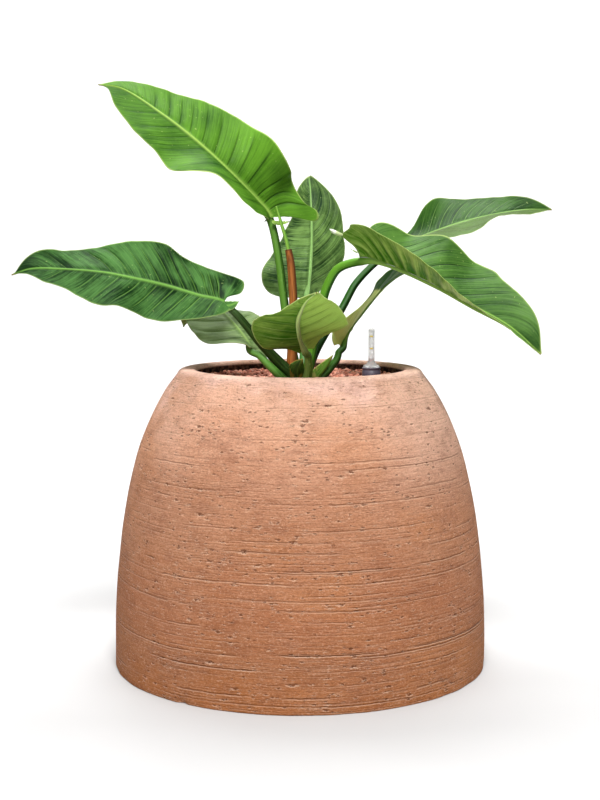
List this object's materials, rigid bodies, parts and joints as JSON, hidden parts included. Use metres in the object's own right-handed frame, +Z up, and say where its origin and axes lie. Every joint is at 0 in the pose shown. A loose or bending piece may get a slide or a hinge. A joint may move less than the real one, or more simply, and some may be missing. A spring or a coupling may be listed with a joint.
{
  "type": "potted imperial green philodendron",
  "caption": "Broad-leaved green philodendron standing in clay pebbles in a tall dome-shaped terracotta planter, with a clear water gauge at its side.",
  "frame": {"origin": "centre of the planter's flat foot, on the surface it stands on", "axes": "+Z up along the planter's axis, -Y towards the viewer, +X to the viewer's right, towards the water gauge"},
  "size_m": [0.677, 0.4837, 0.7246],
  "materials": {
    "terracotta": "matt brushed terracotta with fine horizontal grooves and pits",
    "pebbles": "matt fired clay granules",
    "stem": "fibrous green-brown stem and roots",
    "gauge_grey": "satin grey plastic",
    "gauge_clear": "clear plastic",
    "gauge_red": "red plastic",
    "leaf": "glossy green leaf with a pale midrib",
    "leaf_dark": "glossy dark green leaf with a pale midrib",
    "leaf_pale": "pale satin underside of a green leaf",
    "sheath_brown": "dry orange-brown sheath",
    "sheath_green": "green sheath with a yellow-brown edge"
  },
  "bodies": {
    "root": {"planter_pot": "terracotta", "clay_pebbles": "pebbles", "stem_with_roots": "stem", "gauge_casing": "gauge_grey", "gauge_tube": "gauge_clear", "gauge_float": "gauge_red", "leaf_upper_left": "leaf", "leaf_left": "leaf_dark", "leaf_back": "leaf_dark", "leaf_right_top": "leaf", "leaf_right_drooping": "leaf", "leaf_right_narrow": "leaf_pale", "leaf_front": "leaf", "leaf_left_low": "leaf_pale", "new_leaf": "leaf", "sheath_brown": "sheath_brown", "sheath_front": "sheath_green", "sheath_right": "sheath_green"}
  },
  "joints": []
}
